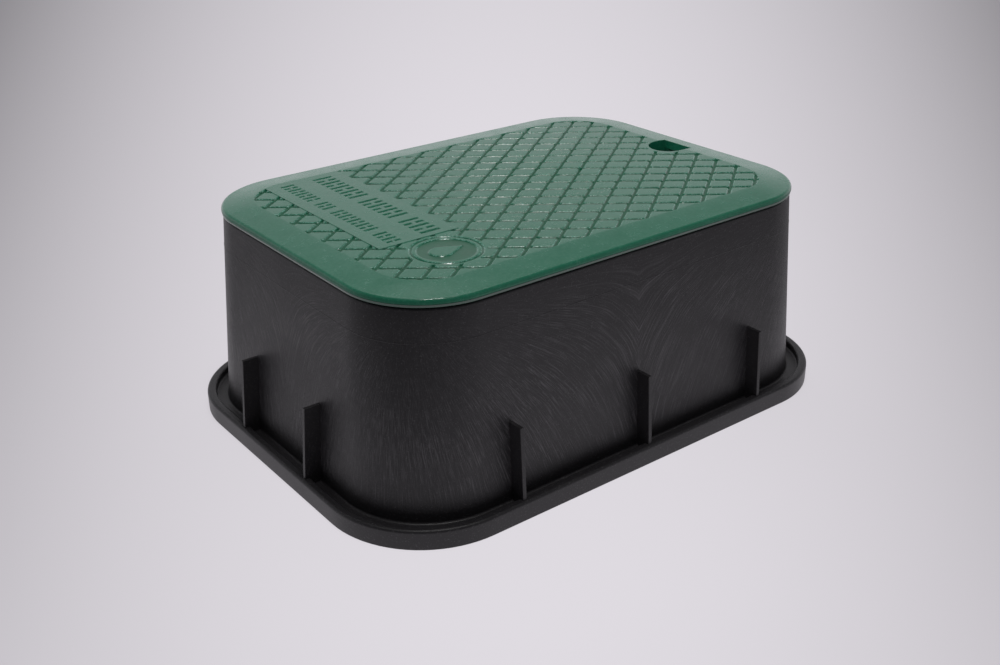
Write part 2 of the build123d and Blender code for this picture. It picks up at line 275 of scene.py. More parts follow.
def finish_mesh(bm, name):
    """Turns a bmesh into an object."""
    bmesh.ops.recalc_face_normals(bm, faces=bm.faces)
    shade(bm)
    mesh = bpy.data.meshes.new(name)
    bm.to_mesh(mesh)
    bm.free()
    obj = bpy.data.objects.new(name, mesh)
    bpy.context.scene.collection.objects.link(obj)
    return obj


def resharpen(obj):
    """Marks an object's sharp edges again, after its mesh was cut or joined."""
    bm = bmesh.new()
    bm.from_mesh(obj.data)
    bmesh.ops.remove_doubles(bm, verts=bm.verts, dist=CUT_WELD)
    bmesh.ops.dissolve_degenerate(bm, edges=bm.edges, dist=CUT_WELD)
    shade(bm)
    bm.to_mesh(obj.data)
    bm.free()
    weighted = obj.modifiers.new("even_flats", "WEIGHTED_NORMAL")
    weighted.keep_sharp = True


def combine(obj, other, operation):
    """Joins other to obj, or cuts it away, and removes other."""
    modifier = obj.modifiers.new("combine", "BOOLEAN")
    modifier.operation = operation
    modifier.solver = "MANIFOLD"
    modifier.object = other
    bpy.context.view_layer.update()
    result = bpy.data.meshes.new_from_object(obj.evaluated_get(bpy.context.evaluated_depsgraph_get()))
    obj.modifiers.remove(modifier)
    old = obj.data
    obj.data = result
    result.materials.clear()
    result.name = obj.name
    bpy.data.meshes.remove(old)
    bpy.data.objects.remove(other)


def add_plate(bm, profile, along_x, place, thickness, edge_round):
    """A flat plate on edge with slightly rounded edges. profile is (distance, height) points."""
    sides = []
    for offset in (-thickness / 2, thickness / 2):
        if along_x:
            sides.append([bm.verts.new((reach, place + offset, height)) for reach, height in profile])
        else:
            sides.append([bm.verts.new((place + offset, reach, height)) for reach, height in profile])
    near, far = sides
    count = len(near)
    made = [bm.faces.new(near), bm.faces.new(far[::-1])]
    for i in range(count):
        j = (i + 1) % count
        made.append(bm.faces.new((near[j], near[i], far[i], far[j])))
    edges = list({edge for face in made for edge in face.edges})
    bmesh.ops.bevel(bm, geom=edges, offset=edge_round, segments=2, profile=0.5, affect="EDGES")


def add_prism(bm, points, low, high):
    """A closed upright prism over a plan outline."""
    bottom = [bm.verts.new((x, y, low)) for x, y in points]
    top = [bm.verts.new((x, y, high)) for x, y in points]
    bm.faces.new(bottom[::-1])
    bm.faces.new(top)
    for i in range(len(points)):
        j = (i + 1) % len(points)
        bm.faces.new((bottom[i], bottom[j], top[j], top[i]))


# ---- Box body -----------------------------------------------------------------------------
def body_rings():
    """Rings round the closed cross-section of the wall and its flange. The paths hold the inset,
    the height and the corner's radius, from the flange's outline and then from the wall's."""
    rim = rounded_path(
        [
            (RIM_END_UNDER, FLANGE_FLOOR_UNDER, 0),
            (FLANGE_RIM, FLANGE_FLOOR_UNDER, 0.001),
            (FLANGE_RIM, 0.0, 0.0006),
            (0.0, 0.0, 0.0008),
            (0.0, FLANGE_HEIGHT, 0.0024),
            (FLANGE_RIM, FLANGE_HEIGHT, 0.0018),
            (FLANGE_RIM, FLANGE_FLOOR_TOP, 0.0015),
            (RIM_END_TOP, FLANGE_FLOOR_TOP, 0),
        ]
    )
    outside = rounded_path(
        [
            (WALL_START, FLANGE_FLOOR_TOP, 0),
            (0.0, FLANGE_FLOOR_TOP, 0.0018),
            (0.0, WITNESS_HEIGHT - WITNESS_HALF_WIDTH, 0.0001),
            (-WITNESS_RISE, WITNESS_HEIGHT, 0.0001),
            (0.0, WITNESS_HEIGHT + WITNESS_HALF_WIDTH, 0.0001),
            (0.0, WALL_TOP, 0.0014),
            (WALL, WALL_TOP, 0.001),
            (WALL, LEDGE_TOP, 0.001),
            (WALL + LEDGE_WIDTH, LEDGE_TOP, 0.0006),
            (WALL + LEDGE_WIDTH, LEDGE_TOP - LEDGE_THICKNESS, 0.0006),
            (WALL, LEDGE_TOP - LEDGE_THICKNESS, 0.0015),
            (WALL, 0.0, 0.0006),
            (0.0, 0.0, 0.0006),
            (0.0, FLANGE_FLOOR_UNDER, 0.001),
            (WALL_START, FLANGE_FLOOR_UNDER, 0),
        ]
    )
    rings = [ring_at(BASE, inset, height) for inset, height in rim]
    wall = split_path(outside, WALL_STEP)
    return rings + [ring_at(wall_outline(height), inset, height) for inset, height in wall]


def gusset_profile(side, wall_foot, wall_top, flange):
    """Outline of a gusset on one side, as (distance, height) points."""
    lean = (wall_foot - wall_top) / WALL_TOP
    foot = (FLANGE_FLOOR_TOP + FLANGE_FLOOR_UNDER) / 2
    outer = flange - GUSSET_INSET
    inner = wall_foot - WALL / 2
    points = (
        (inner - foot * lean, foot),
        (outer, foot),
        (outer, FLANGE_HEIGHT),
        (outer - (GUSSET_TOP - FLANGE_HEIGHT) * lean, GUSSET_TOP),
        (inner - GUSSET_TOP * lean, GUSSET_TOP),
    )
    return [(side * reach, height) for reach, height in points]


def bracket_profile(side, wall_foot, wall_top):
    """Outline of a bracket under the ledge, as (distance, height) points."""
    lean = (wall_foot - wall_top) / WALL_TOP
    top = LEDGE_TOP - LEDGE_THICKNESS / 2
    foot = top - BRACKET_HEIGHT
    points = (
        (wall_foot - top * lean - WALL - LEDGE_WIDTH + BRACKET_SETBACK, top),
        (wall_foot - top * lean - WALL / 2, top),
        (wall_foot - foot * lean - WALL / 2, foot),
    )
    return [(side * reach, height) for reach, height in points]


def build_body():
    """The wall with its flange and ledge, and the gussets and brackets joined to it."""
    bm = bmesh.new()
    flow = bm.loops.layers.uv.new("flow")
    add_rings(bm, body_rings(), flow, closed=True)
    body = finish_mesh(bm, "box_moulding")

    top = wall_outline(WALL_TOP)
    plates = bmesh.new()
    plates.loops.layers.uv.new("flow")
    for side in (-1, 1):
        for place in LONG_SIDE_GUSSETS:
            profile = gusset_profile(side, WALL_FOOT[1] / 2, top[1] / 2, BASE[1] / 2)
            add_plate(plates, profile, False, place, GUSSET_THICKNESS, GUSSET_EDGE_ROUND)
        for place in SHORT_SIDE_GUSSETS:
            profile = gusset_profile(side, WALL_FOOT[0] / 2, top[0] / 2, BASE[0] / 2)
            add_plate(plates, profile, True, place, GUSSET_THICKNESS, GUSSET_EDGE_ROUND)
        for place in LONG_SIDE_BRACKETS:
            profile = bracket_profile(side, WALL_FOOT[1] / 2, top[1] / 2)
            add_plate(plates, profile, False, place, BRACKET_THICKNESS, BRACKET_EDGE_ROUND)
        for place in SHORT_SIDE_BRACKETS:
            profile = bracket_profile(side, WALL_FOOT[0] / 2, top[0] / 2)
            add_plate(plates, profile, True, place, BRACKET_THICKNESS, BRACKET_EDGE_ROUND)
    combine(body, finish_mesh(plates, "plates"), "UNION")
    resharpen(body)
    return body


# ---- Lid ----------------------------------------------------------------------------------
def sink(past_edge):
    """Share of a sunk shape's depth at a distance past its edge."""
    if past_edge <= SINK_PROFILE[0][0]:
        return 0.0
    for (before, low), (after, high) in zip(SINK_PROFILE, SINK_PROFILE[1:]):
        if past_edge <= after:
            return low + (high - low) * (past_edge - before) / (after - before)
    return 1.0


def ramp(value):
    """The value, kept between 0 and 1."""
    return max(0.0, min(1.0, value))


HALF_LENGTH, HALF_WIDTH = DIAMOND_LENGTH / 2, DIAMOND_WIDTH / 2
BLOCK_SIDE = hypot(HALF_LENGTH, HALF_WIDTH)
SIDE_X, SIDE_Y = HALF_WIDTH / BLOCK_SIDE, HALF_LENGTH / BLOCK_SIDE  # normal of a block's slanting side
SIDE_REACH = HALF_LENGTH * HALF_WIDTH / BLOCK_SIDE - GROOVE_WIDTH / 2
END_REACH = HALF_LENGTH - BLOCK_END_RECESS


def block_distance(x, y):
    """Distance outside the nearest tread block, negative inside it."""
    column, row = round(x / HALF_LENGTH), round(y / HALF_WIDTH)
    best = 1.0
    for near_column in (column - 1, column, column + 1):
        for near_row in (row - 1, row, row + 1):
            if (near_column + near_row) % 2 == 0:
                over_x = abs(x - near_column * HALF_LENGTH)
                over_y = abs(y - near_row * HALF_WIDTH)
                side = over_x * SIDE_X + over_y * SIDE_Y - SIDE_REACH
                best = min(best, max(side, over_x - END_REACH))
    return best


def block_outline(centre_x, centre_y, offset):
    """Corners of a tread block, moved out by offset."""
    end_x = END_REACH + offset
    end_y = (SIDE_REACH + offset - SIDE_X * end_x) / SIDE_Y
    tip_y = (SIDE_REACH + offset) / SIDE_Y
    half = ((end_x, -end_y), (end_x, end_y), (0, tip_y))
    corners = half + tuple((-x, -y) for x, y in half)
    return [(centre_x + x, centre_y + y) for x, y in corners]


def block_centres():
    """Centres of the tread blocks, with some to spare round the field."""
    columns, rows = int(FIELD[0] / DIAMOND_LENGTH) + 1, int(FIELD[1] / DIAMOND_WIDTH) + 1
    for column in range(-columns, columns + 1):
        for row in range(-rows, rows + 1):
            if (column + row) % 2 == 0:
                yield column * HALF_LENGTH, row * HALF_WIDTH


def panel_distance(x, y):
    """Distance outside the raised panel, negative inside."""
    low_x, high_x, low_y, high_y = PANEL
    return max(low_x - x, x - high_x, low_y - y, y - high_y)


def hole_distance(x, y):
    """Distance outside the D-shaped lifting hole, negative inside."""
    if x < HOLE_X:
        return hypot(x - HOLE_X, y) - HOLE_RADIUS
    over_x, over_y = x - HOLE_FLAT_X, abs(y) - HOLE_RADIUS
    return hypot(max(over_x, 0), max(over_y, 0)) + min(max(over_x, over_y), 0)


def hole_points(offset, arc=40):
    """The lifting hole's outline, moved out by offset."""
    radius, flat = HOLE_RADIUS + offset, HOLE_FLAT_X + offset
    points = [
        (HOLE_X + radius * cos(angle), radius * sin(angle))
        for angle in (pi / 2 + pi * step / arc for step in range(arc + 1))
    ]
    return points + [(flat, -radius), (flat, radius)]


def bars():
    """(centre x, centre y, half height, half width) of the sunk bars in the panel."""
    made = []
    for row_x, height, pitch, groups in BAR_ROWS:
        y = BAR_ROW_START
        for group in groups:
            for bar in range(group):
                half_width = pitch * BAR_SHARE / 2
                if bar % 2 == 0:
                    made.append((row_x, y, height / 2, half_width))
                else:
                    part = height * SPLIT_BAR_SHARE
                    shift = (height - part) / 2
                    made.append((row_x - shift, y, part / 2, half_width))
                    made.append((row_x + shift, y, part / 2, half_width))
                y -= pitch
            y -= pitch
    return made


BARS = bars()


def bar_depth(x, y):
    """Distance into the nearest bar, negative outside all of them."""
    return max(min(tall - abs(x - bar_x), wide - abs(y - bar_y)) for bar_x, bar_y, tall, wide in BARS)


def drop_distance(x, y):
    """Distance outside the badge's water drop, negative inside."""
    x, y = x - BADGE[0] + DROP_OFFSET, abs(y - BADGE[1])
    tangent = acos(DROP_RADIUS / DROP_LENGTH)
    if atan2(y, x) < tangent:
        return x * cos(tangent) + y * sin(tangent) - DROP_RADIUS
    return hypot(x, y) - DROP_RADIUS


def drop_points(offset, arc=36):
    """The water drop's outline, moved out by offset."""
    centre_x, centre_y = BADGE[0] - DROP_OFFSET, BADGE[1]
    radius, length = DROP_RADIUS + offset, (DROP_RADIUS + offset) * DROP_LENGTH / DROP_RADIUS
    tangent = acos(DROP_RADIUS / DROP_LENGTH)
    points = [
        (centre_x + radius * cos(angle), centre_y + radius * sin(angle))
        for angle in (tangent + (2 * pi - 2 * tangent) * step / arc for step in range(arc + 1))
    ]
    return points + [(centre_x + length, centre_y)]


def badge_depth(x, y):
    """Share of the badge's depth that the surface is sunk by."""
    reach = hypot(x - BADGE[0], y - BADGE[1])
    groove_middle = BADGE_RADIUS - BADGE_RING_GROOVE / 2
    groove = sink(BADGE_RING_GROOVE / 2 - abs(reach - groove_middle))
    disc = sink(min(BADGE_RADIUS - BADGE_RING_GROOVE - BADGE_RING - reach, drop_distance(x, y)))
    return max(groove, disc)


def tread_share(x, y):
    """How much of the tread's depth applies here: none outside the field or by the hole or badge."""
    field = ramp(-outline_distance(x, y, FIELD) / GROOVE_END_RAMP)
    hole = ramp((hole_distance(x, y) - HOLE_COLLAR) / GROOVE_END_RAMP)
    badge = ramp((hypot(x - BADGE[0], y - BADGE[1]) - BADGE_RADIUS - BADGE_MARGIN) / GROOVE_END_RAMP)
    return field * hole * badge


BORDER = (LID[0] - FIELD[0]) / 2 - TOP_INSET


def top_surface(x, y):
    """(height, how sunk) of the lid's top. Sunk goes from 0 to 1, and on the panel from -1 to 1."""
    outside = outline_distance(x, y, FIELD)
    crown = LID_TOP - (LID_TOP - LID_EDGE_TOP) * ramp(outside / BORDER) ** CROWN_CURVE
    crown -= HOLE_ROUND / 2 * ramp(1 - hole_distance(x, y) / HOLE_ROUND) ** 2
    ragged = sum(amount * noise.noise(Vector((x, y, seed)) * scale) for amount, scale, seed in RAGGED_EDGES)
    tread = GROOVE_DEPTH * tread_share(x, y) * sink(block_distance(x, y) + ragged)
    badge = BADGE_DEPTH * badge_depth(x, y)
    sunk = max(tread, badge)
    gate = (GATE_RADIUS - hypot(x - GATE_X, y)) / GATE_SLOPE
    if gate > 0:
        return crown - GROOVE_DEPTH + (GROOVE_DEPTH + GATE_RISE) * ramp(gate), 0.0
    inside = ramp(-panel_distance(x, y) / PANEL_SLOPE) if outside < 0 else 0.0
    if inside > 0:
        panel = PANEL_RISE * ramp(-outside / PANEL_SLOPE)
        marked = sink(bar_depth(x, y))
        height = crown - sunk * (1 - inside) + (panel - (panel + MARK_DEPTH) * marked) * inside
        return height, marked * 2 - 1 if inside == 1 else sunk * (1 - inside) / GROOVE_DEPTH
    return crown - sunk, sunk / GROOVE_DEPTH


class Plan:
    """Lines on a plan that a surface of triangles has to follow."""

    def __init__(self):
        self.points, self.edges, self.known = [], [], {}

    def point(self, x, y):
        """The number of the point at a place."""
        key = (round(x, 7), round(y, 7))
        if key not in self.known:
            self.known[key] = len(self.points)
            self.points.append(Vector((x, y)))
        return self.known[key]

    def line(self, start, end, longest, wanted=lambda x, y: True):
        """A line cut into short edges and kept where it is wanted."""
        (x0, y0), (x1, y1) = start, end
        pieces = max(1, round(hypot(x1 - x0, y1 - y0) / longest))
        steps = [(x0 + (x1 - x0) * i / pieces, y0 + (y1 - y0) * i / pieces) for i in range(pieces + 1)]
        for before, after in zip(steps, steps[1:]):
            if wanted(*before) or wanted(*after):
                edge = (self.point(*before), self.point(*after))
                if edge[0] != edge[1]:
                    self.edges.append(edge)

    def loop(self, corners, longest, wanted=lambda x, y: True):
        """A closed line through the corners."""
        for start, end in zip(corners, corners[1:] + corners[:1]):
            self.line(start, end, longest, wanted)

    def triangles(self):
        """Points and triangles that fill the outermost line."""
        points, _, faces, *_ = delaunay_2d_cdt(self.points, self.edges, [], FILL_INSIDE, FILL_TOLERANCE)
        return points, faces


def rectangle(low_x, high_x, low_y, high_y, offset=0.0):
    """Corners of a rectangle, moved out by offset."""
    return [
        (low_x - offset, low_y - offset),
        (high_x + offset, low_y - offset),
        (high_x + offset, high_y + offset),
        (low_x - offset, high_y + offset),
    ]


def circle(centre, radius, count=72):
    """Points round a circle."""
    return [
        (centre[0] + radius * cos(2 * pi * i / count), centre[1] + radius * sin(2 * pi * i / count))
        for i in range(count)
    ]


def outline_points(outline):
    """(x, y) points round a rounded rectangle."""
    return [(x, y) for x, y, _ in round_points(outline)]


def top_plan():
    """Every line that the lid's top surface turns at."""
    plan = Plan()

    def on_tread(x, y):
        return tread_share(x, y) > 0 and panel_distance(x, y) > -PANEL_SLOPE

    def on_panel(x, y):
        return panel_distance(x, y) < PANEL_SLOPE and outline_distance(x, y, FIELD) < 0

    for inset in BORDER_INSETS:
        plan.loop(outline_points(grown(LID, -inset)), UNCUT)
    for offset in (0.0, -PANEL_SLOPE, -GROOVE_END_RAMP):
        plan.loop(outline_points(grown(FIELD, offset)), STEP)
    for x, y in block_centres():
        for offset, _ in SINK_PROFILE:
            plan.loop(block_outline(x, y, offset), FINE_STEP, on_tread)
    for offset in (0.0, -PANEL_SLOPE):
        plan.loop(rectangle(*PANEL, offset), STEP, on_panel)
    for bar_x, bar_y, tall, wide in BARS:
        for offset, _ in SINK_PROFILE:
            plan.loop(rectangle(bar_x - tall, bar_x + tall, bar_y - wide, bar_y + wide, -offset), STEP)
    for offset, _ in SINK_PROFILE:
        plan.loop(circle(BADGE, BADGE_RADIUS - offset), UNCUT)
        plan.loop(circle(BADGE, BADGE_RADIUS - BADGE_RING_GROOVE + offset), UNCUT)
        plan.loop(circle(BADGE, BADGE_RADIUS - BADGE_RING_GROOVE - BADGE_RING - offset), UNCUT)
        plan.loop(drop_points(offset), FINE_STEP)
    for margin in (0.0, GROOVE_END_RAMP):
        plan.loop(circle(BADGE, BADGE_RADIUS + BADGE_MARGIN + margin), UNCUT)
        plan.loop(hole_points(HOLE_COLLAR + margin), STEP)
    for offset in (HOLE_ROUND / 6, HOLE_ROUND / 2, HOLE_ROUND):
        plan.loop(hole_points(offset), STEP)
    for share in GATE_RINGS:
        plan.loop(circle((GATE_X, 0), GATE_RADIUS * share, GATE_SIDES), UNCUT)
    return plan


def underside_surface(x, y):
    """Height of the lid's underside inside its skirt: ribs and the hole's collar hang from the plate."""
    clear = -outline_distance(x, y, SKIRT_INSIDE)
    clear = min([clear] + [abs(y - place) - RIB_THICKNESS / 2 for place in RIBS_ALONG_X])
    clear = min([clear] + [abs(x - place) - RIB_THICKNESS / 2 for place in RIBS_ALONG_Y])
    clear = min(clear, hole_distance(x, y) - HOLE_COLLAR)
    return RIB_BOTTOM + (PLATE_UNDERSIDE - RIB_BOTTOM) * ramp(clear / RIB_DRAFT)


SKIRT = grown(wall_outline(WALL_TOP), -WALL - SKIRT_CLEARANCE)
SKIRT_INSIDE = grown(SKIRT, -SKIRT_THICKNESS)


def half_span(outline, aside):
    """How far an outline reaches along X from its middle, on a line that lies aside from it."""
    length, width, corner = outline
    past_straight = max(0.0, abs(aside) - (width / 2 - corner))
    return length / 2 - corner + sqrt(corner**2 - past_straight**2)


def underside_plan():
    """Every line that the lid's underside turns at."""
    plan = Plan()
    ends = grown(SKIRT_INSIDE, -RIB_DRAFT)
    turned_ends = (ends[1], ends[0], ends[2])
    for offset in (0.0, -RIB_DRAFT):
        plan.loop(outline_points(grown(SKIRT_INSIDE, offset)), UNCUT)
        margin = RIB_THICKNESS / 2 - offset
        for side in (-margin, margin):
            for place in RIBS_ALONG_X:
                span = half_span(ends, place + side)
                plan.line((-span, place + side), (span, place + side), STEP)
            for place in RIBS_ALONG_Y:
                span = half_span(turned_ends, place + side)
                plan.line((place + side, -span), (place + side, span), STEP)
        plan.loop(hole_points(HOLE_COLLAR - offset), STEP)
    return plan


def lid_rings():
    """Rings from the edge of the top surface, round the lid's edge and down and up its skirt. The
    paths hold the inset, the height and the corner's radius."""
    line_top, line_middle, line_bottom = EDGE_LINE
    edge = rounded_path(
        [
            (TOP_INSET, LID_EDGE_TOP, 0),
            (0.0, LID_EDGE_TOP, EDGE_ROUND),
            (0.0, LID_EDGE_BOTTOM + line_top, 0.0001),
            (EDGE_LINE_DEPTH, LID_EDGE_BOTTOM + line_middle, 0.0001),
            (LIP_INSETS[0], LID_EDGE_BOTTOM + line_bottom, 0.0001),
            (LIP_INSETS[1], LID_EDGE_BOTTOM, 0.0008),
            (EDGE_BAND, LID_EDGE_BOTTOM, 0.0006),
            (EDGE_BAND, PLATE_UNDERSIDE, 0.0008),
            (EDGE_BAND + 0.0015, PLATE_UNDERSIDE, 0),
        ]
    )
    skirt = rounded_path(
        [
            (-0.001, PLATE_UNDERSIDE, 0),
            (0.0, PLATE_UNDERSIDE, 0.0008),
            (0.0, LEDGE_TOP + SEAT_CLEARANCE, 0.0006),
            (SKIRT_THICKNESS, LEDGE_TOP + SEAT_CLEARANCE, 0.0005),
            (SKIRT_THICKNESS, RIB_BOTTOM, 0),
        ]
    )
    rings = [ring_at(LID, inset, height) for inset, height in edge]
    return rings + [ring_at(SKIRT, inset, height) for inset, height in skirt]


def add_surface(bm, plan, height, sunk_layer=None):
    """Triangles over a plan at the heights that a function gives."""
    points, faces = plan.triangles()
    verts = []
    for point in points:
        level = height(point.x, point.y)
        if sunk_layer is None:
            verts.append(bm.verts.new((point.x, point.y, level)))
        else:
            vert = bm.verts.new((point.x, point.y, level[0]))
            vert[sunk_layer] = level[1]
            verts.append(vert)
    for face in faces:
        bm.faces.new([verts[i] for i in face])


def build_lid():
    """The lid's top, edge, skirt and underside as one closed mesh, with the lifting hole cut out."""
    bm = bmesh.new()
    flow = bm.loops.layers.uv.new("flow")
    sunk = bm.verts.layers.float.new("sunk")
    add_surface(bm, top_plan(), top_surface, sunk)
    add_rings(bm, lid_rings(), flow, closed=False)
    add_surface(bm, underside_plan(), underside_surface)
    bmesh.ops.remove_doubles(bm, verts=bm.verts, dist=SEAM_WELD)
    for vert in bm.verts:
        x, y, z = vert.co
        if z < LID_EDGE_BOTTOM + LIP_HEIGHT and outline_distance(x, y, LID) > -LIP_REACH:
            vert[sunk] = LIP
    lid = finish_mesh(bm, "lid_moulding")

    under_lip = rectangle(HOLE_X, LID[0] / 2 - EDGE_BAND, -HOLE_RADIUS, HOLE_RADIUS)
    for points, high in ((hole_points(0.0), LID_TOP + CUT_MARGIN), (under_lip, LID_TOP - HOLE_LIP)):
        cutter = bmesh.new()
        cutter.loops.layers.uv.new("flow")
        add_prism(cutter, points, RIB_BOTTOM - CUT_MARGIN, high)
        combine(lid, finish_mesh(cutter, "cutter"), "DIFFERENCE")
    resharpen(lid)
    return lid


# ---- Materials ----------------------------------------------------------------------------
class Nodes:
    """Short ways to add and link the nodes of a material or a world."""

    def __init__(self, owner, shader):
        self.owner = owner
        owner.use_nodes = True
        self.tree = owner.node_tree
        self.shader = self.tree.nodes[shader]

    def set(self, socket, value):
        """Links another node's output to a socket, or sets its value. None leaves it alone."""
        if isinstance(value, bpy.types.NodeSocket):
            self.tree.links.new(value, socket)
        elif value is not None:
            socket.default_value = value

    def add(self, kind, output=0, settings=(), **inputs):
        """One output of a new node, whose inputs are given by name with _ for a space."""
        node = self.tree.nodes.new(kind)
        for name, value in dict(settings).items():
            setattr(node, name, value)
        for name, value in inputs.items():
            self.set(node.inputs[name.replace("_", " ")], value)
        return node.outputs[output]

    def math(self, operation, first, second=None, third=None):
        node = self.tree.nodes.new("ShaderNodeMath")
        node.operation = operation
        for socket, value in zip(node.inputs, (first, second, third)):
            self.set(socket, value)
        return node.outputs[0]

    def sum(self, values):
        return reduce(lambda total, value: self.math("ADD", total, value), values)

    def length(self, x, y):
        return self.math("SQRT", self.math("ADD", self.math("MULTIPLY", x, x), self.math("MULTIPLY", y, y)))

    def split(self, vector):
        node = self.tree.nodes.new("ShaderNodeSeparateXYZ")
        self.set(node.inputs[0], vector)
        return node.outputs[:]

    def vector(self, x=0.0, y=0.0, z=0.0):
        return self.add("ShaderNodeCombineXYZ", X=x, Y=y, Z=z)

    def noise(self, vector, scale, detail=2.0, roughness=0.5):
        return self.add("ShaderNodeTexNoise", Vector=vector, Scale=scale, Detail=detail, Roughness=roughness)

    def remap(self, value, low, high, to_low=0.0, to_high=1.0):
        """A value from the range low to high, moved to the range to_low to to_high and kept in it."""
        node = self.tree.nodes.new("ShaderNodeMapRange")
        names = ("Value", "From Min", "From Max", "To Min", "To Max")
        for name, number in zip(names, (value, low, high, to_low, to_high)):
            self.set(node.inputs[name], number)
        return node.outputs[0]

    def mix(self, share, first, second):
        node = self.tree.nodes.new("ShaderNodeMix")
        node.data_type = "RGBA"
        for name, value in (("Factor", share), ("A", first), ("B", second)):
            for socket in node.inputs:
                if socket.name == name and socket.enabled:
                    self.set(socket, value)
        return next(socket for socket in node.outputs if socket.enabled)

    def bump(self, height, strength, distance, normal=None):
        return self.add("ShaderNodeBump", Height=height, Strength=strength, Distance=distance, Normal=normal)


def plastic(name):
    """The nodes of a new material."""
    return Nodes(bpy.data.materials.new(name), "Principled BSDF")


LID_GREEN = (0.008, 0.172, 0.090, 1), (0.013, 0.192, 0.104, 1)
LID_MOTTLE = (0.022, 0.220, 0.128, 1)
LID_SPECKLE = (0.060, 0.270, 0.175, 1)
# painted highlight: pale speckles along the tread blocks' rounded top edges
LID_EDGE_GLINT = (0.200, 0.520, 0.400, 1)
LID_LIP = (0.085, 0.130, 0.108, 1)
# painted shade: a darker green for the grooves, where less light reaches
GROOVE_SHADE_GREEN = (0.004, 0.110, 0.050, 1), (0.007, 0.140, 0.068, 1)
DULL_SPOT = (0.055, 0.010)  # middle of the round area of the lid that shines less


def lid_material():
    """Green plastic: mottled and finely grained, with painted highlight speckles along the blocks' edges and
    painted shade that darkens the grooves, which are also duller."""
    n = plastic("lid_green_plastic")
    place = n.add("ShaderNodeTexCoord", output=3)
    sunk = n.add("ShaderNodeAttribute", output=2, settings={"attribute_name": "sunk"})
    cloud = n.noise(place, 7.0, 3.0, 0.55)
    mottle = n.noise(place, 60.0, 4.0, 0.65)
    speckle = n.noise(place, 420.0, 3.0, 0.7)
    grain = n.noise(place, 1300.0, 3.0, 0.6)
    pits = n.noise(place, 520.0, 2.0, 0.5)

    top = n.mix(n.remap(cloud, 0.3, 0.7), *LID_GREEN)
    top = n.mix(n.remap(mottle, 0.35, 0.75, 0.0, 0.6), top, LID_MOTTLE)
    top = n.mix(n.remap(speckle, 0.45, 0.75, 0.0, 0.5), top, LID_SPECKLE)
    # painted shade: the grooves take the darker green, more of it the deeper they are
    groove = n.mix(n.remap(mottle, 0.35, 0.7), *GROOVE_SHADE_GREEN)
    colour = n.mix(n.remap(sunk, 0.1, 0.9), top, groove)
    # painted highlight: pale speckles on the blocks' rounded top edges, broken up by noise
    edge = n.math("MULTIPLY", n.remap(sunk, 0.01, 0.12), n.remap(sunk, 0.60, 0.30))
    pale_marks_and_glint = n.math("MULTIPLY", edge, n.remap(n.noise(place, 700.0, 2.0), 0.48, 0.62))
    colour = n.mix(pale_marks_and_glint, colour, LID_EDGE_GLINT)
    colour = n.mix(n.remap(sunk, -1.3, -1.9, 0.0, 0.85), colour, LID_LIP)
    n.set(n.shader.inputs["Base Color"], colour)

    rough = n.math("ADD", n.remap(mottle, 0.3, 0.7, 0.18, 0.28), n.remap(speckle, 0.3, 0.7, -0.04, 0.04))
    rough = n.math("ADD", rough, n.remap(sunk, 0.5, 1.0, 0.0, 0.25))
    n.set(n.shader.inputs["Roughness"], rough)
    x, y, _ = n.split(place)
    dull_x, dull_y = DULL_SPOT
    from_middle = n.length(n.math("SUBTRACT", x, dull_x), n.math("SUBTRACT", y, dull_y))
    sheen = n.remap(n.math("MULTIPLY_ADD", mottle, 0.05, from_middle), 0.045, 0.115, 0.36, 0.50)
    sheen = n.math("ADD", sheen, n.remap(sunk, -0.2, -0.9, 0.0, 0.14))
    sheen = n.math("SUBTRACT", sheen, n.remap(sunk, 0.6, 1.0, 0.0, 0.25))
    n.set(n.shader.inputs["Specular IOR Level"], sheen)
    n.set(n.shader.inputs["IOR"], 1.5)

    normal = n.bump(grain, 0.14, 0.0003)
    normal = n.bump(pits, 0.14, 0.0006, normal)
    normal = n.bump(mottle, 0.08, 0.0015, normal)
    n.set(n.shader.inputs["Normal"], normal)
    return n.owner


BOX_BLACK = (0.0155, 0.0145, 0.0163, 1), (0.0205, 0.0193, 0.0214, 1)
BOX_WORN = (0.110, 0.106, 0.113, 1)
LONG_STREAKS = (110.0, 2.5, 0.0)  # streaks per radian round their source, breaks along them, seed
FINE_STREAKS = (260.0, 7.0, 7.0)
STREAK_WANDER = 0.05  # radians
LOG_BASE = 2.718
FADE_UNDER_LID = (0.165, 0.110)  # heights between which the streaks reach full strength
FADE_AT_FOOT = (0.016, 0.030)
WELD_FADE = (0.070, 0.095)
WELD_EDGES = (0.0007, 0.0002)  # distances from a weld's middle where its line starts and is full


